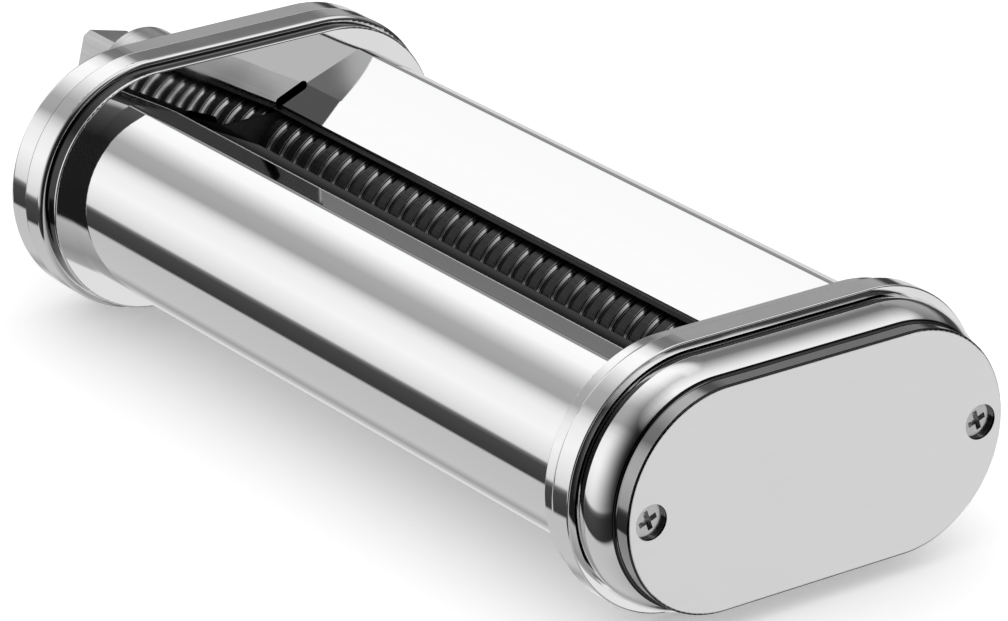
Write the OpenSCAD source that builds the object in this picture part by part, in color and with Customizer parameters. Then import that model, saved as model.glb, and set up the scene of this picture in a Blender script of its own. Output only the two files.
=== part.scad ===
// Pasta cutter attachment for a mixer's power hub.
// X runs along the rollers with the hub at -X, +Y is the rear, and the two rims stand on Z = 0.
// Inside the modules, Z = 0 is the plane of the roller axes and X = 0 is the middle of the feed slot.

/* [Cutting rollers] */
// Width of a cut strand, and of a cutting disc
strand_w = 2; // [1.5:0.1:4]
// Side gap between a disc and the groove that it runs in
disc_gap = 0.1; // [0.06:0.01:0.2]
// Discs on the front roller; the rear roller has one less
disc_count = 36; // [16:1:44]
// Distance between the roller axes
axis_gap = 19; // [18.4:0.1:19.4]
// How deep the discs of one roller reach past the discs of the other
disc_overlap = 1; // [0.6:0.1:1.4]
// Gap between a disc's edge and the bottom of its groove
groove_clear = 0.6; // [0.4:0.1:1]
// Diameter of the roller journals
journal_d = 10; // [9:0.5:11]
// Free length between a roller's end and the side plate
end_play = 0.4; // [0.3:0.1:0.8]
// Height of the thrust boss on each roller end
thrust_h = 0.5; // [0.3:0.1:0.5]
// Diameter of the thrust boss
thrust_d = 14; // [13.5:0.5:15]
// Radial clearance of a journal or shank in its bush
running_fit = 0.03; // [0.02:0.01:0.06]

/* [Gears] */
// Teeth on each of the two gears
gear_teeth = 19; // [17:2:25]
// Face width of the gears
gear_w = 5; // [4:0.5:5]
// Play between meshing teeth
backlash = 0.12; // [0.08:0.02:0.2]
// Depth of the flat that keys a gear to its journal
key_flat = 1.2; // [0.8:0.2:1.6]

/* [Oblong ends] */
// Distance between the two arc centres of every oblong outline
end_span = 38.5; // [38:0.5:44]
// End radius of the two rims; the rims are twice as tall as this
rim_r = 24.3; // [24:0.1:26]
// Width of a rim along X
rim_w = 5; // [4.5:0.5:7]
// Width of the rim's edge beside the groove round the end cap
rim_edge = 1.5; // [1.2:0.1:1.6]
// Width of the groove round the end cap
groove_w = 0.6; // [0.5:0.1:0.9]
// How far a side plate stands out of its rim
plate_proud = 3.1; // [2.6:0.1:3.6]
// Depth of the side plate's spigot inside the rim
spigot_h = 2; // [1.6:0.2:2.4]
// How far the side plate's edge lies inside the rim's edge
plate_inset = 1.2; // [1:0.1:1.6]
// Rounding of the rims' edges towards the feed
rim_roll = 1.1; // [0.8:0.1:1.3]
// Rounding of the side plates' edges
plate_round = 0.35; // [0.2:0.05:0.6]
// Rounding of the end rim's outer edge
rim_round = 0.3; // [0.2:0.05:0.4]
// Rounding of the edges at the seam between hub rim and gear case
seam_round = 0.1; // [0.05:0.05:0.3]

/* [End cap] */
// Height of the end cap beyond its rim
cap_h = 11.3; // [10:0.1:14]
// Wall of the end cap
cap_wall = 1; // [0.8:0.1:1.4]
// Radius of the end cap's bulging shoulder
bulge_r = 7.6; // [7.2:0.2:9]
// How far the shoulder bulges past the cap's skirt
bulge_out = 0.4; // [0.2:0.1:0.5]
// Distance of the bulge's crown from the rim's outer face
bulge_at = 2.3; // [1.8:0.1:2.6]
// How far the raised faces lie inside the end cap's skirt
face_inset = 1.8; // [1.6:0.1:2.4]
// Height of the raised faces
face_h = 3.6; // [3:0.1:4]
// Rounding of the raised faces' edges
face_round = 0.45; // [0.3:0.05:0.6]
// Fillet at the foot of the raised faces
face_fillet = 0.45; // [0.3:0.05:0.6]

/* [Gear case] */
// Width of the gear case's band along X
case_w = 5.5; // [5.5:0.5:8]
// Wall of the gear case
case_wall = 1.6; // [1.2:0.1:1.8]
// Rounding of the gear case's back edge
case_round = 1.2; // [0.8:0.1:1.4]

/* [Covers and hopper] */
// Distance between the arc centres of the two covers
cover_span = 40; // [39:0.5:42]
// End radius of the covers; the body is twice as tall as this
cover_r = 18.8; // [18.4:0.1:19.4]
// Thickness of the sheet
sheet_t = 0.6; // [0.5:0.05:0.8]
// Distance of the folds at the hopper's rim from its middle
fold_y = 25.4; // [25:0.1:26.4]
// Distance of the front slope's lower edge from the hopper's middle
front_slot_y = 7.4; // [7:0.1:8.6]
// Distance of the rear slope's lower edge from the hopper's middle
rear_slot_y = 6.9; // [6.6:0.1:8.6]
// Gap between the front slope's lower edge and the discs
front_lip_clear = 0.3; // [0.25:0.05:0.6]
// Gap between the rear slope's lower edge and the discs
rear_lip_clear = 0.85; // [0.3:0.05:1.1]
// Distance of the bend in the front slope from the hopper's middle
front_knee_y = 15.5; // [14.6:0.1:16.4]
// Distance of the bend in the rear slope from the hopper's middle
rear_knee_y = 13.1; // [12.4:0.1:15]
// Slope of the front cover's flap, from its lower edge to the bend, in degrees
front_flap_a = 24.1; // [23:0.1:25.5]
// Slope of the rear cover's flap, in degrees
rear_flap_a = 22.1; // [21:0.1:24]
// Outside radius of the bend between a flap and its slope
knee_r = 3; // [2:0.5:5]
// Outside radius of the fold between a slope and its cover
fold_r = 1.6; // [1.2:0.1:2]
// Half width of the outlet under the rollers
outlet_y = 11.5; // [10.5:0.1:12]
// Height of the upturned edge beside the outlet
outlet_lip = 2.4; // [2:0.1:3]
// Outside radius of the bend at that edge
edge_r = 1.1; // [0.9:0.1:1.4]
// Width of the tabs on the covers' ends
tab_w = 5.6; // [4.6:0.2:6]
// Distance from a slope's lower edge to its tabs
tab_in = 0.4; // [0.4:0.1:1]
// How far a tab reaches into its slot
tab_l = 3; // [2:0.5:4]
// Half width of the tab slots
tab_slot_r = 0.95; // [0.9:0.05:1.1]

/* [Bearings] */
// Half height of the side plates' windows
window_r = 9.6; // [9.4:0.1:9.7]
// Depth of a bearing block below the side plate's face
block_recess = 0.3; // [0.2:0.1:0.5]
// Thickness of the bearing blocks
block_h = 6.8; // [6.4:0.1:7]
// Outer diameter of the journal bushes
bush_d = 13; // [12.5:0.5:14]
// Diameter of the bushes' flanges
bush_flange_d = 16; // [15.5:0.5:17]
// Thickness of the bushes' flanges
bush_flange_h = 1; // [0.8:0.1:1]
// Thickness of the retaining rings
ring_h = 0.9; // [0.8:0.1:1]
// Outer diameter of the retaining rings
ring_d = 14; // [13:0.5:15]
// Depth of the retaining rings' grooves
ring_depth = 0.6; // [0.5:0.1:0.8]
// Gap left beside gears and rings
side_gap = 0.2; // [0.15:0.05:0.3]

/* [Combs] */
// Outer radius of a comb's back, round the roller axis
comb_r = 11.8; // [11.5:0.1:12]
// Gap between a comb's back and the discs
comb_gap = 0.4; // [0.3:0.1:0.6]
// Side gap of a comb finger in its groove
finger_gap = 0.25; // [0.2:0.05:0.35]
// Where a comb starts, in degrees round the roller axis
comb_a = 234; // [232:1:240]
// Length of a comb in degrees
comb_sweep = 52; // [46:1:54]
// Diameter of the comb rods
comb_rod_d = 4; // [3.5:0.5:4]
// Distance of a comb rod from the roller axis
comb_rod_out = 14.6; // [14.5:0.1:15]
// Width across the flats of the comb rod nuts
nut_af = 7; // [6:0.5:7]
// Height of the comb rod nuts
nut_h = 2.4; // [2:0.2:2.8]
// Diameter of a comb's ears
ear_d = 6.6; // [6.4:0.2:6.8]
// Width of a comb's ears
ear_w = 3; // [2:0.5:4]

/* [Tie rods and screws] */
// Gap between a tie rod and the inside of its cover
tie_gap = 0.8; // [0.6:0.1:1.4]
// Diameter of the tie rods
tie_d = 5; // [4.8:0.1:5.2]
// Diameter of the cap screws' threads
screw_d = 3.5; // [3:0.5:3.5]
// Diameter of the cap screws' heads
head_d = 6.3; // [6:0.1:6.4]
// Depth of the screw heads below the raised faces
head_depth = 1; // [0.8:0.1:1.4]
// Length of the cap screws' threads in the tie rods
screw_grip = 8; // [6:1:10]
// Clearance of fixed pieces in their holes
fit = 0.05; // [0.03:0.01:0.1]

/* [Hub] */
// Diameter of the collar that the mixer's hub clamps
hub_d = 34.8; // [34:0.1:35]
// Length of that collar
hub_l = 10; // [9:0.5:10.5]
// Length of the collar's relieved base, which carries the locating pin
base_l = 4.4; // [4.2:0.1:5]
// How far the base is relieved
base_relief = 0.3; // [0.2:0.1:0.5]
// Wall of the nose round the hub bush
nose_wall = 1.7; // [1.5:0.1:2.4]
// Length of collar and nose together
nose_l = 34.2; // [32:0.2:38]
// Width across the flats of the square shank
shank_s = 11; // [10:0.1:11.4]
// Bevel along the shank's four corners
shank_bevel = 1.2; // [1:0.1:1.6]
// Length of the square shank beyond the nose
shank_l = 13.6; // [12:0.2:18]
// Diameter of the shank's round part
shank_d = 14.2; // [14:0.1:14.4]
// Angle at which the shank is at rest, in degrees
shank_turn = -13.4; // [-45:0.1:45]
// Wall of the hub bush
hub_bush_wall = 1.4; // [1:0.1:1.6]
// Height of the cone between collar and nose
cone_h = 3; // [2:0.2:4]
// Width of that cone's foot
cone_w = 3.2; // [2:0.2:4]
// Length of the hub bush
hub_bush_l = 24; // [20:1:24]
// Diameter of the cross pin
cross_pin_d = 3; // [2.5:0.5:3.5]
// Pitch circle of the collar screws
collar_pcd = 27; // [26:0.5:28]
// Thread diameter of the collar screws
collar_screw_d = 3; // [2.5:0.5:3]
// Length of the collar screws under their heads
collar_screw_l = 8; // [6:1:9]
// Height of the collar screws' heads
collar_head_h = 1.4; // [1:0.1:1.4]
// Diameter of the locating pin on the collar
locator_d = 3; // [2.5:0.5:3.5]
// How far the locating pin stands out of the collar
locator_h = 3; // [2:0.5:4]

/* [Hidden] */
$fn = 96;
e = 0.01;                                      // overshoot of a cutter past a face
pitch = 2 * (strand_w + disc_gap);
roller_l = (disc_count - 1) * pitch + strand_w;
feed_w = roller_l + 2 * end_play;
disc_r = (axis_gap + disc_overlap) / 2;
core_r = axis_gap - disc_r - groove_clear;
axis_y = axis_gap / 2;
end_c = end_span / 2;
tie_y = cover_span / 2 + cover_r - sheet_t - tie_gap - tie_d / 2;
hub_bush_d = shank_d + 2 * hub_bush_wall;
nose_d = hub_bush_d + 2 * nose_wall;

// distances from a side plate's face, outwards
rim_in = plate_proud;
spigot_out = plate_proud + spigot_h;
rim_out = plate_proud + rim_w;
face_out = rim_out + cap_h;
case_out = rim_out + case_w;
case_face = case_out + face_h;
block_out = block_recess + block_h;
bush_out = block_out + bush_flange_h;
end_ring_at = bush_out + side_gap;
gear_at = bush_out + side_gap;
gear_out = gear_at + gear_w;
nose_out = case_face + nose_l;
shank_out = nose_out + shank_l;
case_ring_at = gear_out + side_gap / 2;
end_journal = end_ring_at + ring_h + 1.2;      // journal ends in the end cap
case_journal = case_ring_at + ring_h + 0.6;    // front journal ends in the gear case
socket_h = 11;                                 // depth of the rear journal in the shank
socket_out = gear_out + socket_h;

// oblong radii
plate_r = rim_r - plate_inset;
groove_r = rim_r - rim_edge;
cap_r = groove_r - groove_w;
spigot_r = cap_r - cap_wall / 2;
face_r = cap_r - face_inset;

// hopper, in the Y-Z plane of the rear side: each flap runs from its lip up to the knee, and
// the slope runs on from there to the fold
arc_c = [cover_span / 2, 0];                   // centre of the cover's round
fold = [fold_y, sqrt(pow(cover_r, 2) - pow(fold_y - arc_c[0], 2))];
function lip(slot_y, clear) =
    [slot_y, sqrt(pow(disc_r + clear, 2) - pow(slot_y - axis_y, 2)) + sheet_t];
front_lip = lip(front_slot_y, front_lip_clear);
rear_lip = lip(rear_slot_y, rear_lip_clear);
function along(a) = [cos(a), sin(a)];
function into(a) = [sin(a), -cos(a)];          // from the top of a sheet with slope a into it
function flap_l(lip, knee_y, flap_a) = (knee_y - lip[0]) / cos(flap_a);

feed_x = feed_w / 2;
total_l = feed_x + face_out + feed_x + shank_out;
home_x = total_l / 2 - feed_x - face_out;      // puts the box's middle on X = 0

// ---- placing ----

// moves a piece from the roller frame to the frame of the part
module home() translate([home_x, 0, rim_r]) children();

// stands a piece on the end side plate's face, its Z pointing outwards and its X to the rear
module at_end() home() translate([feed_x, 0, 0]) rotate([90, 0, 90]) children();

// the same on the hub side plate's face, outwards to the hub
module at_hub() home() translate([-feed_x, 0, 0]) mirror([1, 0, 0]) rotate([90, 0, 90]) children();

// puts a piece on the front (-1) or rear (1) roller axis of an end
module on_axis(side) translate([side * axis_y, 0, 0]) children();

// lays a piece along X, centred on the feed slot
module along_x() home() rotate([90, 0, 90]) children();

// ---- oblong outlines ----

// two half circles of radius r joined by straight sides
module oblong(r) {
    for (side = [-1, 1]) translate([side * end_c, 0]) circle(r);
    square([end_span, 2 * r], center = true);
}

// sweeps a profile (X outwards from the arc centres, Y along the axis) round the oblong
module oblong_sweep() {
    for (side = [-1, 1]) {
        translate([side * end_c, 0, 0]) rotate([0, 0, -90 * side]) rotate_extrude(angle = 180) children();
        mirror([0, side < 0 ? 1 : 0, 0]) translate([-end_c, 0, 0]) rotate([90, 0, 90])
            linear_extrude(end_span) children();
    }
}

// profile of a band from radius r0 to r1 and height h0 to h1, its outer corners rounded
module band(r0, r1, h0, h1, low_round, high_round) difference() {
    translate([r0, h0]) square([r1 - r0, h1 - h0]);
    translate([r1, h0]) corner_cut(low_round);
    translate([r1, h1]) mirror([0, 1]) corner_cut(high_round);
}

// what a radius takes off the corner at the origin, outwards at +X and down at -Y
module corner_cut(r) if (r > 0) difference() {
    translate([-r, -e]) square([r + e, r + e]);
    translate([-r, r]) circle(r);
}

// ---- rims and side plates ----

module rim(outer_round) {
    oblong_sweep() difference() {
        band(spigot_r, rim_r, rim_in, rim_out, rim_roll, outer_round);
        translate([spigot_r - e, spigot_out]) square([groove_r - spigot_r + e, rim_w]);
    }
}

// obround window round both roller axes
module window(r) {
    for (side = [-1, 1]) translate([side * axis_y, 0]) circle(r);
    square([axis_gap, 2 * r], center = true);
}

// slot for a cover's tab, along the flap that starts at a lip
module tab_slot(lip, flap_a) translate(lip + (tab_in + tab_w / 2) * along(flap_a)) rotate(flap_a) {
    for (side = [-1, 1]) translate([side * tab_w / 2, 0]) circle(tab_slot_r);
    square([tab_w, 2 * tab_slot_r], center = true);
}

module side_plate() difference() {
    union() {
        oblong_sweep() band(plate_r - 3, plate_r, 0, rim_in, plate_round, 0);
        linear_extrude(rim_in) oblong(plate_r - 2);
        linear_extrude(spigot_out) oblong(spigot_r - fit);
    }
    translate([0, 0, -1]) linear_extrude(spigot_out + 2) {
        window(window_r);
        tab_slot(rear_lip, rear_flap_a);
        mirror([1, 0]) tab_slot(front_lip, front_flap_a);
        for (side = [-1, 1]) {
            translate([side * tie_y, 0]) circle(tie_d / 2 + fit);
            translate(comb_rod_pos(side)) circle(comb_rod_d / 2 + fit);
        }
    }
}

module bearing_block() translate([0, 0, block_recess]) linear_extrude(block_h) difference() {
    window(window_r - fit);
    for (side = [-1, 1]) translate([side * axis_y, 0]) circle(bush_d / 2 + fit);
}

module journal_bush() translate([0, 0, block_recess]) difference() {
    union() {
        cylinder(h = block_h, d = bush_d);
        translate([0, 0, block_h]) cylinder(h = bush_flange_h, d = bush_flange_d);
    }
    translate([0, 0, -1]) cylinder(h = block_h + bush_flange_h + 2, r = journal_d / 2 + running_fit);
}

// ---- end cap and gear case ----

// raised face with a rounded edge and a filleted foot, standing on height h0
module raised_face(h0) {
    oblong_sweep() {
        band(face_r - 3, face_r, h0 - e, h0 + face_h, 0, face_round);
        translate([face_r - e, h0 - e]) difference() {
            square(face_fillet + e);
            translate([face_fillet + e, face_fillet + e]) circle(face_fillet);
        }
    }
    translate([0, 0, h0 - e]) linear_extrude(face_h + e) oblong(face_r - 2);
}

// boss under each cap screw, from height h0 to h1
module screw_bosses(h0, h1) for (side = [-1, 1])
    translate([side * tie_y, 0, h0]) cylinder(h = h1 - h0, d = head_d + 2 * cap_wall);

// recess and clearance hole of each cap screw in a face at height h1
module screw_holes(h1) for (side = [-1, 1]) translate([side * tie_y, 0, h1]) {
    translate([0, 0, -head_depth]) cylinder(h = head_depth + 1, d = head_d + 2 * fit);
    translate([0, 0, -head_depth - head_cone_h()])
        cylinder(h = head_cone_h() + e, d1 = screw_d + 2 * fit, d2 = head_d + 2 * fit);
    translate([0, 0, -cap_h]) cylinder(h = cap_h, d = screw_d + 2 * fit);
}

function head_cone_h() = (head_d - screw_d) / 2;

// the cap's bulging shoulder ends in the fillet at the raised face's foot
step_out = rim_out + cap_h - face_h;
skirt_in = bulge_r - bulge_out - cap_wall;     // how far the drawn profile reaches inwards

// profile of the end cap's side, drawn in by inset: a straight skirt and the bulge above it
module cap_profile(inset) {
    translate([cap_r - skirt_in, spigot_out - e]) square([skirt_in - inset, rim_w - spigot_h + e]);
    intersection() {
        translate([cap_r + bulge_out - bulge_r, rim_out + bulge_at]) circle(bulge_r - inset);
        translate([cap_r - skirt_in, spigot_out])
            square([skirt_in + bulge_out + 1, step_out - spigot_out - inset]);
    }
}

module cap_shell() difference() {
    union() {
        oblong_sweep() difference() {
            cap_profile(0);
            translate([0, spigot_out - 1]) square([cap_r, 1]);
        }
        translate([0, 0, spigot_out]) linear_extrude(step_out - spigot_out)
            oblong(cap_r - skirt_in + 1);
        raised_face(step_out);
    }
    difference() {
        union() {
            oblong_sweep() cap_profile(cap_wall);
            linear_extrude(step_out - cap_wall) oblong(cap_r - skirt_in + 1);
            linear_extrude(face_out - cap_wall) oblong(face_r - cap_wall - face_fillet);
        }
        screw_bosses(end_tie_out, face_out);
    }
    screw_holes(face_out);
}

// height at which the cap screws' bosses end and the tie rods start
end_tie_out = face_out - cap_h / 2;
case_tie_out = case_face - 2 * case_wall;

module case_shell() difference() {
    union() {
        oblong_sweep() {
            band(cap_r - 3, cap_r, spigot_out, rim_out + e, 0, 0);
            band(cap_r - 3, rim_r, rim_out, case_out, seam_round, case_round);
        }
        translate([0, 0, spigot_out]) linear_extrude(case_out - spigot_out) oblong(cap_r - 2);
        raised_face(case_out);
    }
    difference() {
        union() {
            linear_extrude(case_out - case_wall) oblong(cap_r - case_wall);
            linear_extrude(case_face - case_wall) oblong(face_r - case_wall);
        }
        screw_bosses(case_tie_out, case_face);
    }
    screw_holes(case_face);
    on_axis(1) {
        cylinder(h = case_face + 1, d = shank_d + 4 * fit);
        collar_screw_places() cylinder(h = case_face + 1, d = collar_screw_d + 2 * fit);
    }
}

// countersunk screw with a cross recess; its head's top is at the origin, its tip at -Z
module cap_screw(grip) difference() {
    union() {
        translate([0, 0, -head_cone_h()]) cylinder(h = head_cone_h(), d1 = screw_d, d2 = head_d);
        translate([0, 0, -head_cone_h() - grip]) cylinder(h = grip + e, d = screw_d);
    }
    for (turn = [0, 90]) rotate(turn + 20) translate([0, 0, 0.1])
        cube([0.58 * head_d, 0.16 * head_d, 2.6], center = true);
}

// ---- covers ----

// where the fold's arc is centred: it touches the slope and the round from inside
function fold_centre(knee, slope_a) =
    let (start = knee + fold_r * into(slope_a) - arc_c,
         along_start = start * along(slope_a),
         reach = cover_r - fold_r,
         t = -along_start + sqrt(along_start * along_start - start * start + reach * reach))
    knee + fold_r * into(slope_a) + t * along(slope_a);

// Sheet metal drawn as a chain: each piece starts at its origin, heads along X with its outer
// side on Y = 0, and hands its children the frame at its far end.

// straight stretch of sheet
module straight(l) {
    translate([0, -sheet_t]) square([l, sheet_t]);
    translate([l, 0]) children();
}

// sheet turned clockwise by angle a with outer radius r
module bend(r, a) {
    intersection() {
        translate([0, -r]) difference() {
            circle(r);
            circle(r - sheet_t);
        }
        translate([0, -3 * r]) square(6 * r);
        bend_end(r, a) translate([-6 * r, -3 * r]) square(6 * r);
    }
    bend_end(r, a) children();
}

module bend_end(r, a) translate([0, -r]) rotate(-a) translate([0, r]) children();

// section of a cover: flap, slope, fold, round, flat bottom and the edge beside the outlet
module cover_section(lip, knee_y, flap_a) {
    flap = flap_l(lip, knee_y, flap_a);
    knee = lip + flap * along(flap_a);
    slope_a = atan2(fold[1] - knee[1], fold[0] - knee[0]);
    // the knee's arc takes as much off the flap as off the slope
    trim = knee_r * tan((flap_a - slope_a) / 2);
    centre = fold_centre(knee, slope_a);
    out = centre - arc_c;
    round_a = atan2(out[1], out[0]);
    translate(lip) rotate(flap_a)
        straight(flap - trim)
        bend(knee_r, flap_a - slope_a)
        straight((centre - knee) * along(slope_a) - trim)
        bend(fold_r, 90 + slope_a - round_a)
        bend(cover_r, round_a + 90)
        straight(arc_c[0] - outlet_y - edge_r)
        bend(edge_r, 90)
        straight(outlet_lip - edge_r);
}

module cover(lip, knee_y, flap_a) along_x() {
    translate([0, 0, -feed_x]) linear_extrude(feed_w) cover_section(lip, knee_y, flap_a);
    // tabs into the side plates, on the flap
    translate([0, 0, -feed_x - tab_l]) linear_extrude(feed_w + 2 * tab_l)
        translate(lip) rotate(flap_a) translate([tab_in, -sheet_t]) square([tab_w, sheet_t]);
}

// ---- combs ----

comb_rod_a = 291;                              // direction of a comb rod from the rear roller axis
function comb_rod_pos(side) =
    [side * (axis_y + comb_rod_out * cos(comb_rod_a)), comb_rod_out * sin(comb_rod_a)];

// profile of a comb's back and fingers: X from the roller axis, Y along it, first finger at first
module comb_profile(first, count) {
    back_r = disc_r + comb_gap;
    finger_w = pitch - strand_w - 2 * finger_gap;
    translate([back_r, -feed_x]) square([comb_r - back_r, feed_w]);
    for (i = [0 : count - 1]) translate([core_r + 0.3, first + i * pitch - finger_w / 2])
        square([back_r - core_r - 0.3 + e, finger_w]);
}

// comb on the rear roller axis
module comb(first, count) {
    along_x() difference() {
        union() {
            translate([axis_y, 0, 0]) rotate(comb_a) rotate_extrude(angle = comb_sweep)
                comb_profile(first, count);
            for (at = [-feed_x, -ear_w / 2, feed_x - ear_w]) translate([0, 0, at]) comb_ear();
        }
        translate(concat(comb_rod_pos(1), [0]))
            cylinder(h = feed_w + 2, r = comb_rod_d / 2 + fit, center = true);
    }
}

// ear that hangs a comb on its rod
module comb_ear() linear_extrude(ear_w) difference() {
    union() {
        translate(comb_rod_pos(1)) circle(d = ear_d);
        translate([axis_y, 0]) rotate(comb_rod_a)
            translate([disc_r + comb_gap, -ear_d / 2]) square([comb_rod_out - disc_r - comb_gap, ear_d]);
    }
    translate([axis_y, 0]) circle(disc_r + comb_gap);
}

module comb_rod(side) along_x() translate(concat(comb_rod_pos(side), [0]))
    cylinder(h = feed_w + 2 * (spigot_out + nut_h + 0.6), d = comb_rod_d, center = true);

module rod_nut(side) translate(concat(comb_rod_pos(side), [spigot_out])) linear_extrude(nut_h) difference() {
    circle(d = nut_af / cos(30), $fn = 6);
    circle(comb_rod_d / 2 + fit);
}

// ---- tie rods and screws ----

module tie_rod(side) home() translate([0, side * tie_y, 0]) rotate([0, 90, 0]) difference() {
    translate([0, 0, -feed_x - case_tie_out]) cylinder(h = feed_w + case_tie_out + end_tie_out, d = tie_d);
    translate([0, 0, feed_x + end_tie_out - screw_grip - 1])
        cylinder(h = screw_grip + 2, r = screw_d / 2 + fit);
    translate([0, 0, -feed_x - case_tie_out - 1]) cylinder(h = screw_grip + 2, r = screw_d / 2 + fit);
}

// one screw in each tie rod's end, through a face at height h1 into a rod that ends at tie_out
module face_screws(h1, tie_out) for (side = [-1, 1])
    translate([side * tie_y, 0, h1 - head_depth])
        cap_screw(h1 - head_depth - head_cone_h() - tie_out + screw_grip);

// ---- hub ----

module hub_collar() at_hub() on_axis(1) translate([0, 0, case_face]) difference() {
    rotate_extrude() union() {
        band(shank_d / 2 + 2 * fit, hub_d / 2 - base_relief, 0, hub_l, 0, 0);
        band(shank_d / 2 + 2 * fit, hub_d / 2, base_l, hub_l, 0, 0.8);
        band(shank_d / 2 + 2 * fit, nose_d / 2, 0, nose_l, 0, 0.5);
        // cone between collar and nose
        polygon([[nose_d / 2 - e, hub_l - e], [nose_d / 2 + cone_w, hub_l - e],
                 [nose_d / 2 - e, hub_l + cone_h]]);
    }
    translate([0, 0, nose_l - hub_bush_l]) cylinder(h = hub_bush_l + 1, r = hub_bush_d / 2 + fit);
    collar_screw_places() translate([0, 0, -1])
        cylinder(h = collar_screw_l - case_wall + 1.6, r = collar_screw_d / 2 + fit);
    locator_place() translate([0, 0, -1]) cylinder(h = locator_h + 1, r = locator_d / 2 + fit);
}

module collar_screw_places() for (turn = [0, 120, 240]) rotate(turn)
    translate([collar_pcd / 2, 0, 0]) children();

// foot of the locating pin, on the collar's front side near its base
module locator_place() translate([-hub_d / 2 + locator_h, 0, base_l / 2])
    rotate([0, -90, 0]) children();

module collar_screw() translate([0, 0, case_face - case_wall]) {
    translate([0, 0, -collar_head_h]) cylinder(h = collar_head_h, d = 1.9 * collar_screw_d);
    cylinder(h = collar_screw_l, d = collar_screw_d);
}

module hub_bush() at_hub() on_axis(1) translate([0, 0, nose_out - hub_bush_l]) difference() {
    cylinder(h = hub_bush_l, d = hub_bush_d);
    translate([0, 0, -1]) cylinder(h = hub_bush_l + 2, r = shank_d / 2 + running_fit);
}

// ---- rollers ----

// stepped outline of n discs from height z0
function discs(n, z0) = [for (i = [0 : n - 1]) each
    [[core_r, z0 + i * pitch], [disc_r, z0 + i * pitch],
     [disc_r, z0 + i * pitch + strand_w], [core_r, z0 + i * pitch + strand_w]]];

// grooved barrel with thrust bosses, along Z
module barrel(n, z0) rotate_extrude() union() {
    polygon(concat([[0, -roller_l / 2], [core_r, -roller_l / 2]], discs(n, z0),
                   [[core_r, roller_l / 2], [0, roller_l / 2]]));
    translate([0, -roller_l / 2 - thrust_h]) square([thrust_d / 2, roller_l + 2 * thrust_h]);
}

// journal from the barrel to height h, with a ring groove at ring_at (none if 0); a flat for the
// gear runs to its end
module journal(h, ring_at, flat) difference() {
    translate([0, 0, -end_play]) cylinder(h = h + end_play, d = journal_d);
    if (ring_at > 0) translate([0, 0, ring_at]) difference() {
        cylinder(h = ring_h + fit, d = journal_d + 1);
        translate([0, 0, -1]) cylinder(h = ring_h + 2, r = journal_d / 2 - ring_depth);
    }
    if (flat) translate([journal_d / 2 - key_flat, -journal_d / 2, gear_at - side_gap])
        cube([journal_d, journal_d, h]);
}

module retaining_ring(at) translate([0, 0, at + fit / 2]) difference() {
    cylinder(h = ring_h, d = ring_d);
    translate([0, 0, -1]) cylinder(h = ring_h + 2, r = journal_d / 2 - ring_depth + fit);
    // mouth of the open ring
    translate([-ring_d / 2, -journal_d * 0.3, -1]) cube([ring_d / 2, journal_d * 0.6, ring_h + 2]);
}

module front_roller() {
    along_x() on_axis(-1) barrel(disc_count, -roller_l / 2);
    at_end() on_axis(-1) journal(end_journal, end_ring_at, false);
    at_hub() on_axis(-1) journal(case_journal, case_ring_at, true);
}

module rear_roller() difference() {
    union() {
        along_x() on_axis(1) barrel(disc_count - 1, -roller_l / 2 + strand_w + disc_gap);
        at_end() on_axis(1) journal(end_journal, end_ring_at, false);
        at_hub() on_axis(1) journal(socket_out - 1, 0, true);
    }
    at_hub() cross_hole();
}

// involute tooth outline: radius and angle at roll t of a flank
gear_m = axis_gap / gear_teeth;
pitch_r = axis_gap / 2;
base_r = pitch_r * cos(20);
tip_r = pitch_r + gear_m;
root_r = pitch_r - 1.25 * gear_m;
tip_t = sqrt(pow(tip_r / base_r, 2) - 1);
function roll_angle(t) = t * 180 / PI - atan(t);
half_base = 90 / gear_teeth + roll_angle(tan(20)) - backlash / 4 / pitch_r * 180 / PI;
function polar(r, a) = [r * cos(a), r * sin(a)];
function flank(side, mid) = [for (k = [0 : 5])
    let (t = tip_t * k / 5)
    polar(base_r * sqrt(1 + t * t), mid + side * (half_base - roll_angle(t)))];
function reversed(list) = [for (i = [len(list) - 1 : -1 : 0]) list[i]];
function tooth(mid) = concat([polar(root_r, mid - half_base)], flank(-1, mid),
                             reversed(flank(1, mid)), [polar(root_r, mid + half_base)]);

module gear() translate([0, 0, gear_at]) linear_extrude(gear_w) difference() {
    polygon([for (i = [0 : gear_teeth - 1]) each tooth(i * 360 / gear_teeth)]);
    difference() {
        circle(journal_d / 2 + fit);
        translate([journal_d / 2 - key_flat + fit, -journal_d]) square([journal_d, 2 * journal_d]);
    }
}

// ---- drive shank ----

// square with bevelled corners
function bevelled(s, b) = [for (turn = [0 : 3]) each
    let (c = cos(turn * 90), d = sin(turn * 90), x = s / 2, y = s / 2 - b)
    [[x * c + y * d, x * d - y * c], [x * c - y * d, x * d + y * c]]];

module drive_shank() difference() {
    at_hub() on_axis(1) {
        translate([0, 0, gear_out]) cylinder(h = nose_out + 0.4 - gear_out, d = shank_d);
        rotate(shank_turn) translate([0, 0, nose_out]) {
            linear_extrude(shank_l - 0.5) polygon(bevelled(shank_s, shank_bevel));
            linear_extrude(shank_l) polygon(bevelled(shank_s - 0.8, shank_bevel));
        }
    }
    at_hub() {
        on_axis(1) translate([0, 0, gear_out - 1]) cylinder(h = socket_h + 1, r = journal_d / 2 + fit);
        cross_hole();
    }
}

cross_at = gear_out + socket_h / 2 + 1;
module cross_hole() on_axis(1) translate([0, 0, cross_at]) rotate([90, 0, shank_turn])
    cylinder(h = shank_d + 2, r = cross_pin_d / 2 + fit / 2, center = true);
module cross_pin() at_hub() on_axis(1) translate([0, 0, cross_at]) rotate([90, 0, shank_turn])
    cylinder(h = shank_d - 0.6, d = cross_pin_d, center = true);

// ---- nodes ----

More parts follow.
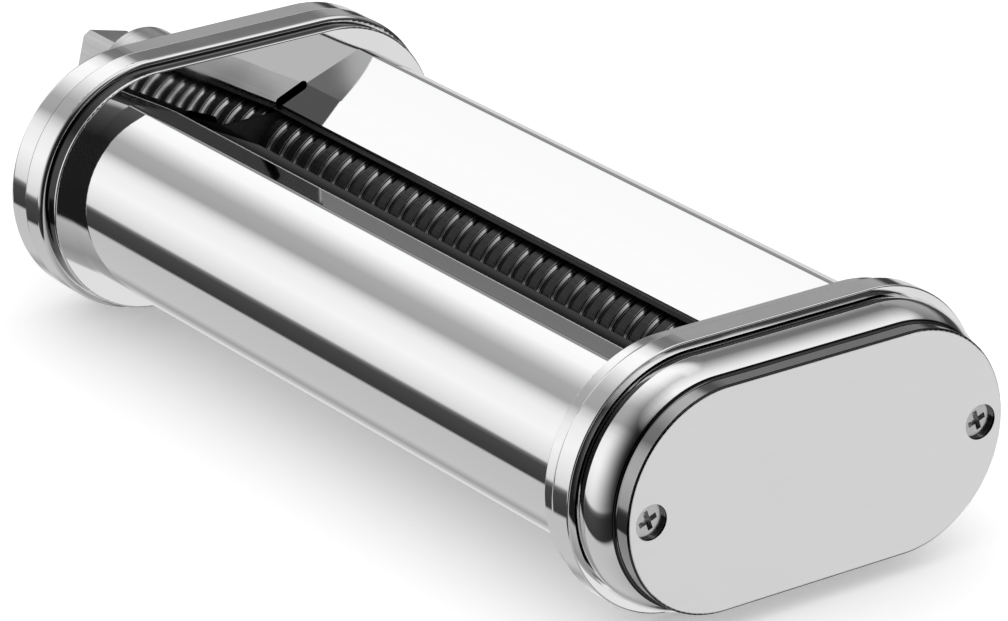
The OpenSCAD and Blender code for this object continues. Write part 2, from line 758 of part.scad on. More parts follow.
module end_cap() color("gainsboro") at_end() cap_shell();
module end_cap_screws() color("silver") at_end() face_screws(face_out, end_tie_out);
module end_rim() color("gainsboro") at_end() rim(rim_round);
module end_side_plate() color("lightgray") at_end() side_plate();
module end_bearing_block() color("dimgray") at_end() bearing_block();
module end_front_bush() color("peru") at_end() on_axis(-1) journal_bush();
module end_rear_bush() color("peru") at_end() on_axis(1) journal_bush();
module rear_cover() color("whitesmoke") cover(rear_lip, rear_knee_y, rear_flap_a);
module front_cover() color("whitesmoke") mirror([0, 1, 0])
    cover(front_lip, front_knee_y, front_flap_a);
module front_comb() color("slategray") mirror([0, 1, 0])
    comb(-roller_l / 2 + strand_w + (pitch - strand_w) / 2, disc_count - 1);
module rear_comb() color("slategray") comb(-roller_l / 2 + strand_w / 2 + pitch, disc_count - 2);
module front_comb_rod() color("silver") comb_rod(-1);
module rear_comb_rod() color("silver") comb_rod(1);
module comb_rod_nuts() color("silver") for (side = [-1, 1]) {
    at_end() rod_nut(side);
    at_hub() rod_nut(side);
}
module front_tie_rod() color("silver") tie_rod(-1);
module rear_tie_rod() color("silver") tie_rod(1);
module hub_side_plate() color("lightgray") at_hub() side_plate();
module hub_bearing_block() color("dimgray") at_hub() bearing_block();
module hub_front_bush() color("peru") at_hub() on_axis(-1) journal_bush();
module hub_rear_bush() color("peru") at_hub() on_axis(1) journal_bush();
module hub_rim() color("gainsboro") at_hub() rim(seam_round);
module gear_case() color("gainsboro") at_hub() case_shell();
module gear_case_screws() color("silver") at_hub() face_screws(case_face, case_tie_out);
module collar_screws() color("silver") at_hub() on_axis(1) collar_screw_places() collar_screw();
module locating_pin() color("silver") at_hub() on_axis(1) translate([0, 0, case_face])
    locator_place() cylinder(h = 2 * locator_h, d = locator_d);
module front_gear() color("goldenrod") at_hub() on_axis(-1) gear();
module rear_gear() color("goldenrod") at_hub() on_axis(1) gear();
module front_rings() color("dimgray") {
    at_end() on_axis(-1) retaining_ring(end_ring_at);
    at_hub() on_axis(-1) retaining_ring(case_ring_at);
}
module rear_ring() color("dimgray") at_end() on_axis(1) retaining_ring(end_ring_at);

end_cap();
end_cap_screws();
end_rim();
end_side_plate();
end_bearing_block();
end_front_bush();
end_rear_bush();
front_cover();
rear_cover();
front_comb();
rear_comb();
front_comb_rod();
rear_comb_rod();
comb_rod_nuts();
front_tie_rod();
rear_tie_rod();
hub_side_plate();
hub_bearing_block();
hub_front_bush();
hub_rear_bush();
hub_rim();
gear_case();
gear_case_screws();
color("silver") hub_collar();
collar_screws();
color("peru") hub_bush();
locating_pin();
color("gray") front_roller();
front_gear();
front_rings();
color("gray") rear_roller();
rear_gear();
rear_ring();
color("silver") drive_shank();
color("silver") cross_pin();
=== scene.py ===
import math

import bpy
import numpy as np
from mathutils import Matrix, Vector


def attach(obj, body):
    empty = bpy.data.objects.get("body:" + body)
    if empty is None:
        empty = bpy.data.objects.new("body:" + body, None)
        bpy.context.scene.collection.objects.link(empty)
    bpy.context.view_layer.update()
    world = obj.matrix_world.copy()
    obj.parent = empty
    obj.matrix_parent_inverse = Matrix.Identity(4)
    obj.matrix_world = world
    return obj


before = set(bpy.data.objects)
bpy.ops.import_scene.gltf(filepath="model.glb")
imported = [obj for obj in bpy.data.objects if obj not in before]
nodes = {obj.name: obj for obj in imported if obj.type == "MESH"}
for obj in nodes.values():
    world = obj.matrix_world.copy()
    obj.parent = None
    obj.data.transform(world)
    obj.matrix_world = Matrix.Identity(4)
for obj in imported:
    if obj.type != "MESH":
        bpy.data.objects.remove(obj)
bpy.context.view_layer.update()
print("frame loaded:", len(nodes), "pieces")


# small helpers for node trees

def newMaterial(name):
    material = bpy.data.materials.new(name)
    material.use_nodes = True
    material.node_tree.nodes.clear()
    return material, material.node_tree


def addNode(tree, kind, inputs=None, **settings):
    made = tree.nodes.new(kind)
    for key, value in settings.items():
        setattr(made, key, value)
    for key, value in (inputs or {}).items():
        socket = made.inputs[key]
        if isinstance(value, bpy.types.NodeSocket):
            tree.links.new(value, socket)
        else:
            socket.default_value = value
    return made


def addFinish(tree, colour, roughness, normal=None, **sockets):
    shader = addNode(tree, "ShaderNodeBsdfPrincipled",
                     {"Base Color": colour, "Roughness": roughness, **sockets})
    if normal is not None:
        tree.links.new(normal, shader.inputs["Normal"])
    addNode(tree, "ShaderNodeOutputMaterial", {"Surface": shader.outputs[0]})


def objectCoords(tree, location=(0, 0, 0), scale=(1, 1, 1)):
    coords = addNode(tree, "ShaderNodeTexCoord")
    mapping = addNode(tree, "ShaderNodeMapping", {
        "Vector": coords.outputs["Object"], "Location": location, "Scale": scale})
    return mapping.outputs[0]


def splitAxes(tree, coords):
    return addNode(tree, "ShaderNodeSeparateXYZ", {0: coords}).outputs


def mathNode(tree, operation, first, second, third=0.0):
    made = addNode(tree, "ShaderNodeMath", {0: first, 1: second, 2: third}, operation=operation)
    return made.outputs[0]


def clampValue(tree, value, low, high):
    return addNode(tree, "ShaderNodeClamp", {"Value": value, "Min": low, "Max": high}).outputs[0]


def mapRange(tree, value, start, end, low=0.0, high=1.0, interpolation="LINEAR"):
    made = addNode(tree, "ShaderNodeMapRange", {
        "Value": value, "From Min": start, "From Max": end, "To Min": low, "To Max": high},
        interpolation_type=interpolation)
    return made.outputs[0]


def mixValue(tree, share, first, second):
    return addNode(tree, "ShaderNodeMix", {0: share, 2: first, 3: second}).outputs[0]


def mixColour(tree, share, first, second, blend="MIX"):
    made = addNode(tree, "ShaderNodeMix", {0: share, 6: first, 7: second},
                   data_type="RGBA", blend_type=blend)
    return made.outputs[2]


def grey(value):
    return value, value, value, 1


def rampNode(tree, value, stops, interpolation="LINEAR"):
    made = addNode(tree, "ShaderNodeValToRGB", {"Fac": value})
    ramp = made.color_ramp
    ramp.interpolation = interpolation
    while len(ramp.elements) < len(stops):
        ramp.elements.new(0.5)
    for element, (place, colour) in zip(ramp.elements, stops):
        element.position = place
        element.color = (*colour, 1) if isinstance(colour, tuple) else grey(colour)
    return made.outputs["Color"]


def noiseNode(tree, coords, scale, detail, roughness=0.5):
    made = addNode(tree, "ShaderNodeTexNoise", {
        "Vector": coords, "Scale": scale, "Detail": detail, "Roughness": roughness})
    return made.outputs["Fac"]


def bumpNode(tree, height, strength, distance, normal=None):
    made = addNode(tree, "ShaderNodeBump", {
        "Height": height, "Strength": strength, "Distance": distance})
    if normal is not None:
        tree.links.new(normal, made.inputs["Normal"])
    return made.outputs[0]


def leanNormals(tree, height, slope, normal=None):
    # shading only: a surface mirrors as if it rose by slope times height; its mesh doesn't change
    return bumpNode(tree, height, 1.0, slope, normal)


def darkWhere(tree, mask, shade):
    # 1 outside the mask and the shade inside it
    return mathNode(tree, "MULTIPLY_ADD", mask, shade - 1.0, 1.0)


def newGroup(name, inputs, outputs):
    group = bpy.data.node_groups.new(name, "ShaderNodeTree")
    for label, kind, value in inputs:
        socket = group.interface.new_socket(label, in_out="INPUT", socket_type=kind)
        if value is not None:
            socket.default_value = value
    for label, kind in outputs:
        group.interface.new_socket(label, in_out="OUTPUT", socket_type=kind)
    return group, addNode(group, "NodeGroupInput"), addNode(group, "NodeGroupOutput")


# effects shared by several finishes

grain = {"fine": 1.0, "fineDetail": 4.0, "fineRoughness": 0.7, "fineShare": 0.6,
         "coarse": 0.23, "coarseDetail": 2.0, "coarseShare": 0.4}


def makeGrainGroup():
    # fine lines: noise in two sizes laid over each other, squeezed by the given coordinates' scale
    group, given, result = newGroup("grainLines", [("Vector", "NodeSocketVector", None)],
                                    [("Grain", "NodeSocketFloat")])
    coords = given.outputs["Vector"]
    fine = noiseNode(group, coords, grain["fine"], grain["fineDetail"], grain["fineRoughness"])
    coarse = noiseNode(group, coords, grain["coarse"], grain["coarseDetail"])
    both = mathNode(group, "MULTIPLY_ADD", coarse, grain["coarseShare"],
                    mathNode(group, "MULTIPLY", fine, grain["fineShare"]))
    group.links.new(both, result.inputs["Grain"])
    return group


smudges = {"scale": 38.0, "detail": 5.0, "roughness": 0.55, "between": (0.48, 0.72)}


def makeHandlingGroup():
    # soft smudges: what a polished part picks up on a worktop, as added roughness
    group, given, result = newGroup("handling", [
        ("Vector", "NodeSocketVector", None), ("Amount", "NodeSocketFloat", 1.0)],
        [("Smudge", "NodeSocketFloat")])
    cloud = noiseNode(group, given.outputs["Vector"], smudges["scale"], smudges["detail"],
                      smudges["roughness"])
    smudge = mapRange(group, cloud, *smudges["between"], 0.0, given.outputs["Amount"])
    group.links.new(smudge, result.inputs["Smudge"])
    return group


grainLines = makeGrainGroup()
handling = makeHandlingGroup()


def placeGrain(tree, scale):
    made = addNode(tree, "ShaderNodeGroup", {"Vector": objectCoords(tree, scale=scale)},
                   node_tree=grainLines)
    return made.outputs["Grain"]


def placeSmudges(tree, coords, amount, roughness):
    # the given roughness, and more where the smudges are
    made = addNode(tree, "ShaderNodeGroup", {"Vector": coords, "Amount": amount}, node_tree=handling)
    return mathNode(tree, "ADD", made.outputs["Smudge"], roughness)


# polished casting: end cap, rims and gear case; places are along X
casting = {
    "colour": (0.90, 0.90, 0.905), "roughness": 0.035, "smudge": 0.10,
    "waveScale": 34.0, "waveDetail": 1.5, "waveStrength": 0.5, "waveHeight": 0.0016,
    "faceFrom": (0.1169, 0.1171), "faceRoughness": 0.34, "faceGrain": 0.10,
    "faceLines": (1, 60, 2400), "faceBump": 0.12, "faceDepth": 0.00005,
    # wall and wallShade, lines and lineShade: painted shade on the raised face's side wall and its
    # two edges
    "wall": (0.1137, 0.1166), "wallShade": 0.42,
    "lines": [(0.11345, 0.00035), (0.11685, 0.00021)], "lineShade": 0.05,  # middle and half width
    "rimBand": (-0.0602, -0.0563), "rimLean": 0.14}


def makeCastChrome():
    material, tree = newMaterial("castChrome")
    coords = objectCoords(tree)
    x = splitAxes(tree, coords)["X"]
    # the end cap's raised flat face is satin, the rest is polished
    face = mapRange(tree, x, *casting["faceFrom"])
    brushed = placeGrain(tree, casting["faceLines"])
    polish = placeSmudges(tree, coords, casting["smudge"], casting["roughness"])
    satin = mathNode(tree, "MULTIPLY_ADD", brushed, casting["faceGrain"],
                     casting["faceRoughness"] - 0.5 * casting["faceGrain"])
    roughness = mixValue(tree, face, polish, satin)
    # painted shade: the raised face's side wall is darkened, standing in for the dark that it
    # mirrors
    wall = mathNode(tree, "MULTIPLY", mathNode(tree, "GREATER_THAN", x, casting["wall"][0]),
                    mathNode(tree, "LESS_THAN", x, casting["wall"][1]))
    shade = darkWhere(tree, wall, casting["wallShade"])
    # painted shade: a dark line in the fillet at the wall's foot and one on the rounding at its
    # upper edge
    for middle, half in casting["lines"]:
        line = mathNode(tree, "COMPARE", x, middle, half)
        shade = mathNode(tree, "MINIMUM", shade, darkWhere(tree, line, casting["lineShade"]))
    colour = mixColour(tree, 1.0, (*casting["colour"], 1), shade, "MULTIPLY")
    # castings keep a slight waviness under the plating
    wave = noiseNode(tree, coords, casting["waveScale"], casting["waveDetail"])
    waved = bumpNode(tree, wave, casting["waveStrength"], casting["waveHeight"])
    ground = bumpNode(tree, mathNode(tree, "MULTIPLY", brushed, face), casting["faceBump"],
                      casting["faceDepth"], waved)
    # shading only: the hub rim's band is lit as if it sloped towards the feed; its mesh is straight
    along = clampValue(tree, x, *casting["rimBand"])
    leant = leanNormals(tree, mathNode(tree, "MULTIPLY", along, -1.0), casting["rimLean"], ground)
    addFinish(tree, colour, roughness, leant, Metallic=1.0)
    return material


# mirror sheet of the covers: the rounds are polished, the front slope of the hopper a little duller;
# places are along Y, and the slopes lie above slopeFloor
sheet = {
    "colour": (0.91, 0.91, 0.915), "roughness": 0.03, "smudge": 0.05,
    "slopeColour": (0.90, 0.90, 0.905), "slopeRoughness": 0.06, "slopeGrain": 0.02,
    "lines": (12, 1500, 1500), "bump": 0.05, "depth": 0.00004,
    "slopeFrom": (-0.0256, -0.0250), "slopeFloor": 0.0340,
    "knee": -0.0155, "kneeLine": 0.0003, "kneeRoughness": 0.45,
    # flapShade: painted shade on the front flap, from the knee to its lip
    "flapEnd": -0.0074, "flapShade": (0.004, 0.05), "flapLean": 1.5}


def makeCoverSheet():
    material, tree = newMaterial("coverSheet")
    coords = objectCoords(tree)
    axes = splitAxes(tree, coords)
    y = axes["Y"]
    # front slope: inside the fold, above the rollers
    inside = mapRange(tree, y, *sheet["slopeFrom"])
    above = mathNode(tree, "GREATER_THAN", axes["Z"], sheet["slopeFloor"])
    front = mathNode(tree, "LESS_THAN", y, 0.0)
    slope = mathNode(tree, "MULTIPLY", mathNode(tree, "MULTIPLY", inside, above), front)
    drawn = placeGrain(tree, sheet["lines"])
    polish = placeSmudges(tree, coords, sheet["smudge"], sheet["roughness"])
    satin = mathNode(tree, "MULTIPLY_ADD", drawn, sheet["slopeGrain"],
                     sheet["slopeRoughness"] - sheet["slopeGrain"])
    # the knee is a duller line
    knee = mathNode(tree, "MULTIPLY", slope, mathNode(
        tree, "COMPARE", y, sheet["knee"] - sheet["kneeLine"], sheet["kneeLine"]))
    roughness = mathNode(tree, "MULTIPLY_ADD", knee, sheet["kneeRoughness"],
                         mixValue(tree, slope, polish, satin))
    # painted shade: the front flap is darkened, least at its lip, standing in for the dark discs
    # that it mirrors
    flap = mathNode(tree, "MULTIPLY", slope, mathNode(tree, "GREATER_THAN", y, sheet["knee"]))
    paintedFlapShade = mapRange(tree, y, sheet["knee"], sheet["flapEnd"], *sheet["flapShade"], "SMOOTHSTEP")
    shade = mathNode(tree, "MULTIPLY_ADD", flap, mathNode(tree, "SUBTRACT", paintedFlapShade, 1.0), 1.0)
    plain = mixColour(tree, slope, (*sheet["colour"], 1), (*sheet["slopeColour"], 1))
    colour = mixColour(tree, 1.0, plain, shade, "MULTIPLY")
    # shading only: the flap's normals lean to the front, so that it doesn't mirror the discs;
    # its mesh is flat
    reach = clampValue(tree, y, sheet["knee"], sheet["flapEnd"])
    rise = mathNode(tree, "MULTIPLY", slope, mathNode(tree, "ADD", reach, -sheet["knee"]))
    leant = leanNormals(tree, rise, sheet["flapLean"])
    bumped = bumpNode(tree, drawn, sheet["bump"], sheet["depth"], leant)
    addFinish(tree, colour, roughness, bumped, Metallic=1.0)
    return material


# polished side plates; faces are the X of the hub plate's inner face and of the end plate's
plates = {
    "colour": (0.90, 0.90, 0.905), "roughness": 0.035, "smudge": 0.06,
    "waveScale": 40.0, "waveDetail": 1.0, "waveStrength": 0.4, "waveHeight": 0.0008,
    "faces": (-0.0521, 0.0977), "lean": 0.04,
    # edgeIn, edgeShade and edgeFade: painted shade on the hub plate's outer edge
    "edgeIn": 0.0004, "edgeShade": 0.05, "edgeFade": (0.006, 0.016)}


def makePlateSteel():
    material, tree = newMaterial("plateSteel")
    coords = objectCoords(tree)
    axes = splitAxes(tree, coords)
    roughness = placeSmudges(tree, coords, plates["smudge"], plates["roughness"])
    wave = noiseNode(tree, coords, plates["waveScale"], plates["waveDetail"])
    waved = bumpNode(tree, wave, plates["waveStrength"], plates["waveHeight"])
    # shading only: the plates' normals lean up by the given slope; the mesh is flat
    leant = leanNormals(tree, mathNode(tree, "MULTIPLY", axes["Z"], -1.0), plates["lean"], waved)
    # painted shade: the hub plate's outer edge is darkened, less so towards the bottom
    outside = mathNode(tree, "LESS_THAN", axes["X"], plates["faces"][0] - plates["edgeIn"])
    edge = mathNode(tree, "MULTIPLY", outside, mapRange(tree, axes["Z"], *plates["edgeFade"]))
    colour = mixColour(tree, edge, (*plates["colour"], 1), grey(plates["edgeShade"]))
    addFinish(tree, colour, roughness, leant, Metallic=1.0)
    return material


# turned steel of the rollers; each zone starts at a radius and has a grey and a roughness; the greys
# are painted highlight and painted shade
rollers = {
    "axisY": 0.0095, "axisZ": 0.0243, "zoneEnd": 0.012,
    "zones": [(0.0, 0.40, 0.15), (0.00848, 0.04, 0.30), (0.00880, 0.92, 0.16),
              (0.00943, 0.03, 0.30), (0.00973, 0.60, 0.25), (0.00986, 0.06, 0.32)],
    "lines": (5200, 60, 60), "lineShade": 0.03, "lineShare": 0.45, "lineRoughness": 0.10,
    "bump": 0.3, "depth": 0.00003, "wallLean": 1.15}


def makeRollerSteel(name, side):
    material, tree = newMaterial(name)
    # distance from the roller's own axis tells floors, walls, edges and lands apart
    centred = objectCoords(tree, location=(0, -side * rollers["axisY"], -rollers["axisZ"]))
    flat = addNode(tree, "ShaderNodeVectorMath", {0: centred, 1: (0, 1, 1)}, operation="MULTIPLY")
    radius = addNode(tree, "ShaderNodeVectorMath", {0: flat.outputs[0]},
                     operation="LENGTH").outputs["Value"]
    end = rollers["zoneEnd"]
    share = mathNode(tree, "MULTIPLY", radius, 1 / end)
    # painted highlight and painted shade: dark lands, and rings of light and dark on the discs' side
    # walls, standing in for what they mirror
    paintedLightAndShade = rampNode(tree, share, [(start / end, shade) for start, shade, _ in rollers["zones"]],
                    "CONSTANT")
    base = rampNode(tree, share, [(start / end, rough) for start, _, rough in rollers["zones"]],
                    "CONSTANT")
    turned = placeGrain(tree, rollers["lines"])
    colour = mixColour(tree, mathNode(tree, "MULTIPLY", turned, rollers["lineShare"]), paintedLightAndShade,
                       grey(rollers["lineShade"]))
    roughness = mathNode(tree, "MULTIPLY_ADD", turned, rollers["lineRoughness"], base)
    bumped = bumpNode(tree, turned, rollers["bump"], rollers["depth"])
    # shading only: the side walls' normals lean outwards, so that they mirror the light above;
    # the walls are flat
    leant = leanNormals(tree, mathNode(tree, "MULTIPLY", radius, -1.0), rollers["wallLean"], bumped)
    addFinish(tree, colour, roughness, leant, Metallic=1.0)
    return material


block = {
    "low": (0.012, 0.012, 0.013), "high": (0.030, 0.030, 0.032), "between": (0.3, 0.75),
    "poreScale": 1800.0, "poreDetail": 3.0, "roughness": 0.42, "poreRoughness": 0.2,
    "bump": 0.25, "depth": 0.00005}


def makeBlockPlastic():
    material, tree = newMaterial("blockPlastic")
    pores = noiseNode(tree, objectCoords(tree), block["poreScale"], block["poreDetail"])
    colour = rampNode(tree, pores, list(zip(block["between"], (block["low"], block["high"]))))
    roughness = mathNode(tree, "MULTIPLY_ADD", pores, block["poreRoughness"], block["roughness"])
    addFinish(tree, colour, roughness, bumpNode(tree, pores, block["bump"], block["depth"]))
    return material


bronze = {
    "middle": (0.62, 0.40, 0.20), "edge": (0.40, 0.25, 0.12), "between": (0.0, 0.8),
    "grainScale": 2600.0, "roughness": 0.25, "grainRoughness": 0.3, "bump": 0.3, "depth": 0.00004}


def makeBushBronze():
    material, tree = newMaterial("bushBronze")
    grains = addNode(tree, "ShaderNodeTexVoronoi", {
        "Vector": objectCoords(tree), "Scale": bronze["grainScale"]}).outputs["Distance"]
    colour = rampNode(tree, grains, list(zip(bronze["between"], (bronze["middle"], bronze["edge"]))))
    roughness = mathNode(tree, "MULTIPLY_ADD", grains, bronze["grainRoughness"], bronze["roughness"])
    bumped = bumpNode(tree, grains, bronze["bump"], bronze["depth"])
    addFinish(tree, colour, roughness, bumped, Metallic=1.0)
    return material


# bright bar, turned or drawn along X; lines is how far the grain is squeezed along X, Y and Z
bars = {
    "turnedSteel": {"colour": (0.74, 0.74, 0.75), "roughness": 0.22, "lines": (3000, 40, 40)},
    "drawnSteel": {"colour": (0.70, 0.70, 0.71), "roughness": 0.24, "lines": (30, 2500, 2500)},
    "screwSteel": {"colour": (0.62, 0.62, 0.625), "roughness": 0.20, "lines": (400, 2000, 2000)},
    "gearSteel": {"colour": (0.50, 0.50, 0.50), "roughness": 0.30, "lines": (2500, 300, 300)}}
barGrain = {"shade": 0.72, "between": (0.25, 0.7), "roughness": 0.12, "smudge": 0.10,
            "bump": 0.2, "depth": 0.00003}


def makeBarSteel(name):
    bar = bars[name]
    material, tree = newMaterial(name)
    lines = placeGrain(tree, bar["lines"])
    dark = tuple(barGrain["shade"] * part for part in bar["colour"])
    colour = rampNode(tree, lines, list(zip(barGrain["between"], (dark, bar["colour"]))))
    polish = placeSmudges(tree, objectCoords(tree), barGrain["smudge"],
                          bar["roughness"] - 0.5 * barGrain["roughness"])
    roughness = mathNode(tree, "MULTIPLY_ADD", lines, barGrain["roughness"], polish)
    bumped = bumpNode(tree, lines, barGrain["bump"], barGrain["depth"])
    addFinish(tree, colour, roughness, bumped, Metallic=1.0)
    return material


# the rear flap's last 1.4 mm over the discs, which the CAD's flap stops short of; its near-black
# colour is painted shade under the rear lip; top and edge are (Y, Z) from the rollers' height
flapEdge = {
    "top": (0.0080, 0.0109), "edge": (0.0055, 0.01053), "thick": 0.00035, "bevel": 0.4,
    "endGap": 0.0002, "steps": 9,
    "dark": (0.030, 0.030, 0.031), "light": (0.060, 0.060, 0.062), "between": (0.3, 0.7),
    "lines": (20, 1800, 1800), "smudge": 0.10, "roughness": 0.22, "bump": 0.2, "depth": 0.00003}


def makeShadedFlapEdgeSteel():
    material, tree = newMaterial("shadedFlapEdgeSteel")
    drawn = placeGrain(tree, flapEdge["lines"])
    # painted shade: near-black steel, with its drawn lines
    colour = rampNode(tree, drawn, list(zip(flapEdge["between"],
                                            (flapEdge["dark"], flapEdge["light"]))))
    roughness = placeSmudges(tree, objectCoords(tree), flapEdge["smudge"], flapEdge["roughness"])
    bumped = bumpNode(tree, drawn, flapEdge["bump"], flapEdge["depth"])
    addFinish(tree, colour, roughness, bumped, Metallic=1.0)
    return material


def carryProfile(name, profile, x0, x1, steps):
    # point (s, t): the closed outline's point s, moved to x0 + t (x1 - x0); two fans close the ends
    outline = np.array(profile)
    count = len(outline)
    along = np.linspace(x0, x1, steps)
    points = np.empty((steps, count, 3))
    points[..., 0] = along[:, None]
    points[..., 1:] = outline[None]
    row, col = np.meshgrid(np.arange(steps - 1), np.arange(count), indexing="ij")
    after = (col + 1) % count
    quads = np.stack([row * count + col, (row + 1) * count + col, (row + 1) * count + after,
                      row * count + after], axis=-1).reshape(-1, 4)
    mesh = bpy.data.meshes.new(name)
    ends = [list(range(count)), list(range((steps - 1) * count, steps * count))[::-1]]
    mesh.from_pydata(points.reshape(-1, 3).tolist(), [], quads.tolist() + ends)
    mesh.update()
    made = bpy.data.objects.new(name, mesh)
    bpy.context.scene.collection.objects.link(made)
    return made


def makeFlapEdge():
    axisZ = rollers["axisZ"]
    (y1, z1), (y0, z0) = flapEdge["top"], flapEdge["edge"]
    thick = flapEdge["thick"]
    outline = [(y0, z0 + axisZ), (y1, z1 + axisZ), (y1, z1 + axisZ - thick),
               (y0 + thick, z0 + axisZ - thick), (y0, z0 + axisZ - flapEdge["bevel"] * thick)]
    made = carryProfile("rearFlapEdge", outline, plates["faces"][0] + flapEdge["endGap"],
                        plates["faces"][1] - flapEdge["endGap"], flapEdge["steps"])
    made.data.materials.append(makeShadedFlapEdgeSteel())
    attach(made, "body")


finishes = [
    (makeCastChrome(), ["end_cap", "end_rim", "hub_rim", "gear_case"]),
    (makeCoverSheet(), ["front_cover", "rear_cover"]),
    (makePlateSteel(), ["end_side_plate", "hub_side_plate"]),
    (makeRollerSteel("frontRollerSteel", -1), ["front_roller"]),
    (makeRollerSteel("rearRollerSteel", 1), ["rear_roller"]),
    (makeBlockPlastic(), ["end_bearing_block", "hub_bearing_block"]),
    (makeBushBronze(), ["end_front_bush", "end_rear_bush", "hub_front_bush", "hub_rear_bush",
                        "hub_bush"]),
    (makeBarSteel("turnedSteel"), ["hub_collar", "locating_pin", "front_comb", "rear_comb",
                                   "front_rings", "rear_ring"]),
    (makeBarSteel("drawnSteel"), ["drive_shank", "front_tie_rod", "rear_tie_rod",
                                  "front_comb_rod", "rear_comb_rod", "comb_rod_nuts", "cross_pin"]),
    (makeBarSteel("screwSteel"), ["end_cap_screws", "gear_case_screws", "collar_screws"]),
    (makeBarSteel("gearSteel"), ["front_gear", "rear_gear"])]
bare = set(nodes)
for finish, names in finishes:
    for name in names:
        nodes[name].data.materials.clear()
        nodes[name].data.materials.append(finish)
    bare.difference_update(names)
print("materials placed, bare nodes:", sorted(bare))

makeFlapEdge()
print("rear flap edge made")


# studio: a pale floor and a tent of light round it, seen only in reflections

# The tent was tuned to one view and isn't a measured room. Its sides are (degrees, brightness) by
# the angle round X, from the front horizon (0) up over the top (90) to the back (180) and down to
# the floor (-90): the hub's side is lit, the camera's side is dark. What lies across the two is
# (x, brightness) by the direction's X.
tent = {
    "hubSide": [
        (-180, 0.05), (-174, 0.60), (-150, 0.73), (-134, 0.78), (-104, 0.34), (-97, 0.44),
        (-90, 0.54), (-44.5, 0.52), (-42.5, 0.042), (-24, 0.062), (-20, 0.16), (-17.5, 0.68),
        (-8, 0.78), (11, 0.93), (30, 0.87), (37, 0.77), (43, 0.58), (48, 0.36), (64, 0.40),
        (72, 0.56), (80, 0.74), (90, 0.95), (106, 1.0), (116, 0.80), (124, 0.20), (134, 0.16),
        (144, 0.33), (162, 0.36), (170, 0.05), (180, 0.05)],
    "cameraSide": [
        (-180, 0.20), (-170, 0.60), (-140, 0.80), (-128, 0.70), (-120, 0.40), (-90, 0.30),
        (-55, 0.45), (-47, 0.50), (-42, 0.012), (60, 0.012), (90, 0.06), (105, 0.10),
        (107.5, 0.52), (118, 0.52), (124, 0.045), (155, 0.045), (165, 0.02), (176, 0.02),
        (180, 0.20)],
    "sidesMeet": (-0.55, 0.58),
    # the overhead light between the two sides, faded in between two heights and two angles
    "overhead": [(-0.62, 0.0), (-0.45, 0.12), (-0.15, 0.45), (0.10, 0.75), (0.35, 0.95),
                 (0.50, 0.85), (0.62, 0.0)],
    "overheadHeight": (0.45, 0.65), "overheadFade": (50, 95),
    # a dark patch low behind the castings' rounded lower edges
    "patch": [(-140, 0.0), (-134, 1.0), (-110, 1.0), (-104, 0.0)],
    "patchAcross": [(-0.52, 0.0), (-0.40, 1.0), (0.50, 1.0), (0.62, 0.0)], "patchShade": 0.02,
    "strength": 1.08, "plainStrength": 1.06}


def turnShare(degrees):
    return (degrees + 180) / 360


def turnRamp(tree, turn, stops):
    return rampNode(tree, turn, [(turnShare(degrees), light) for degrees, light in stops])


def acrossRamp(tree, across, stops):
    return rampNode(tree, across, [(0.5 * x + 0.5, light) for x, light in stops])


def makeWorld():
    world = bpy.data.worlds.new("studio")
    bpy.context.scene.world = world
    world.use_nodes = True
    tree = world.node_tree
    tree.nodes.clear()
    axes = splitAxes(tree, addNode(tree, "ShaderNodeTexCoord").outputs["Generated"])
    angle = mathNode(tree, "ARCTAN2", axes["Z"], mathNode(tree, "MULTIPLY", axes["Y"], -1.0))
    turn = mathNode(tree, "MULTIPLY_ADD", angle, 0.5 / math.pi, 0.5)
    across = mathNode(tree, "MULTIPLY_ADD", axes["X"], 0.5, 0.5)
    side = mapRange(tree, axes["X"], *tent["sidesMeet"], interpolation="SMOOTHSTEP")
    sides = mixColour(tree, side, turnRamp(tree, turn, tent["hubSide"]),
                      turnRamp(tree, turn, tent["cameraSide"]))
    high = mapRange(tree, axes["Z"], *tent["overheadHeight"])
    fade = mapRange(tree, turn, *(turnShare(degrees) for degrees in tent["overheadFade"]))
    overhead = mixColour(tree, mathNode(tree, "MULTIPLY", high, fade), grey(0),
                         acrossRamp(tree, across, tent["overhead"]))
    lit = mixColour(tree, 1.0, sides, overhead, "LIGHTEN")
    patch = mixColour(tree, 1.0, turnRamp(tree, turn, tent["patch"]),
                      acrossRamp(tree, across, tent["patchAcross"]), "MULTIPLY")
    darkened = mixColour(tree, patch, lit, grey(tent["patchShade"]))
    rays = addNode(tree, "ShaderNodeLightPath")
    reflected = addNode(tree, "ShaderNodeBackground", {
        "Color": darkened, "Strength": tent["strength"]})
    plain = addNode(tree, "ShaderNodeBackground", {
        "Color": grey(1), "Strength": tent["plainStrength"]})
    mixed = addNode(tree, "ShaderNodeMixShader", {
        0: rays.outputs["Is Glossy Ray"], 1: plain.outputs[0], 2: reflected.outputs[0]})
    addNode(tree, "ShaderNodeOutputWorld", {0: mixed.outputs[0]})


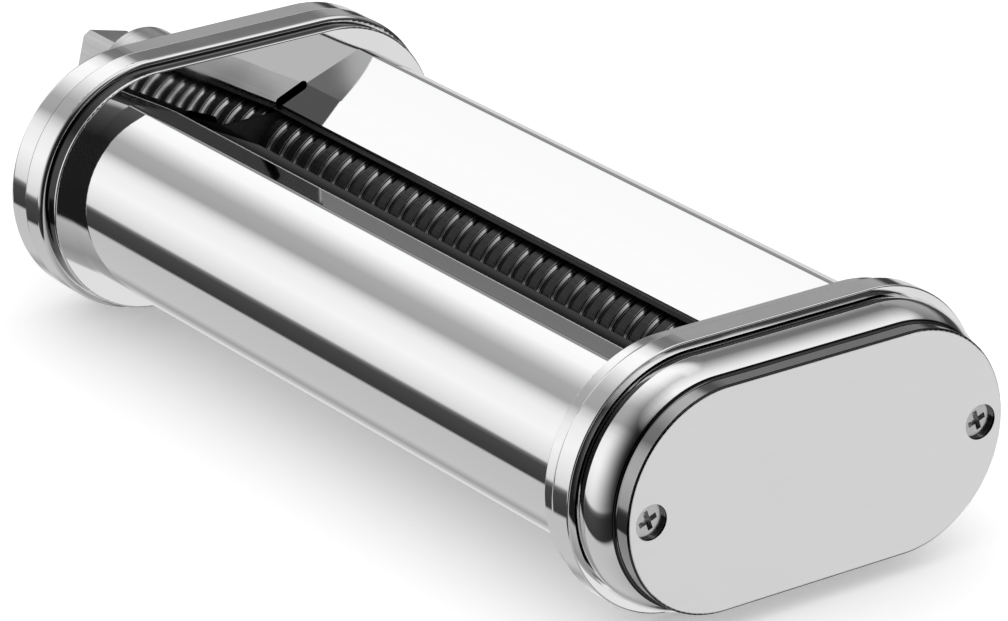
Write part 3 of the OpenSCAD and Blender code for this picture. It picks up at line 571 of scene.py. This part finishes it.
# the floor gives off a little light of its own, which thins the shadow
floorPlan = {"half": 1.6, "colour": (0.93, 0.93, 0.93), "fibreShade": 0.985, "between": (0.3, 0.7),
             "fibreScale": 900.0, "fibreDetail": 3.0, "roughness": 0.9, "glow": 0.25}


def makeFloor():
    half = floorPlan["half"]
    mesh = bpy.data.meshes.new("floor")
    corners = [(-half, -half, 0), (half, -half, 0), (half, half, 0), (-half, half, 0)]
    mesh.from_pydata(corners, [], [(0, 1, 2, 3)])
    floor = bpy.data.objects.new("floor", mesh)
    bpy.context.scene.collection.objects.link(floor)
    material, tree = newMaterial("floorPaper")
    fibres = noiseNode(tree, objectCoords(tree), floorPlan["fibreScale"], floorPlan["fibreDetail"])
    low = tuple(floorPlan["fibreShade"] * part for part in floorPlan["colour"])
    colour = rampNode(tree, fibres, list(zip(floorPlan["between"], (low, floorPlan["colour"]))))
    addFinish(tree, colour, floorPlan["roughness"], **{
        "Emission Color": grey(1), "Emission Strength": floorPlan["glow"]})
    mesh.materials.append(material)
    floor.visible_glossy = False  # mirrors see the tent's lower half in its place


camera = {"azimuth": 53.78, "elevation": 22.80, "roll": -0.28, "lens": 223.32, "sensor": 36,
          "clipStart": 0.05, "place": (0.8486, -0.6006, 0.4502)}


def makeCamera():
    az, el, roll = (math.radians(camera[key]) for key in ("azimuth", "elevation", "roll"))
    back = Vector((math.sin(az) * math.cos(el), -math.cos(az) * math.cos(el), math.sin(el)))
    right = Vector((0, 0, 1)).cross(back).normalized()
    up = back.cross(right)
    turned = Matrix((right, up, back)).transposed() @ Matrix.Rotation(-roll, 3, "Z")
    made = bpy.data.objects.new("camera", bpy.data.cameras.new("camera"))
    bpy.context.scene.collection.objects.link(made)
    made.matrix_world = Matrix.Translation(camera["place"]) @ turned.to_4x4()
    made.data.lens = camera["lens"]
    made.data.sensor_width = camera["sensor"]
    made.data.clip_start = camera["clipStart"]
    bpy.context.scene.camera = made


makeWorld()
makeFloor()
makeCamera()
bpy.context.scene.view_settings.view_transform = "Standard"
print("studio and camera set")
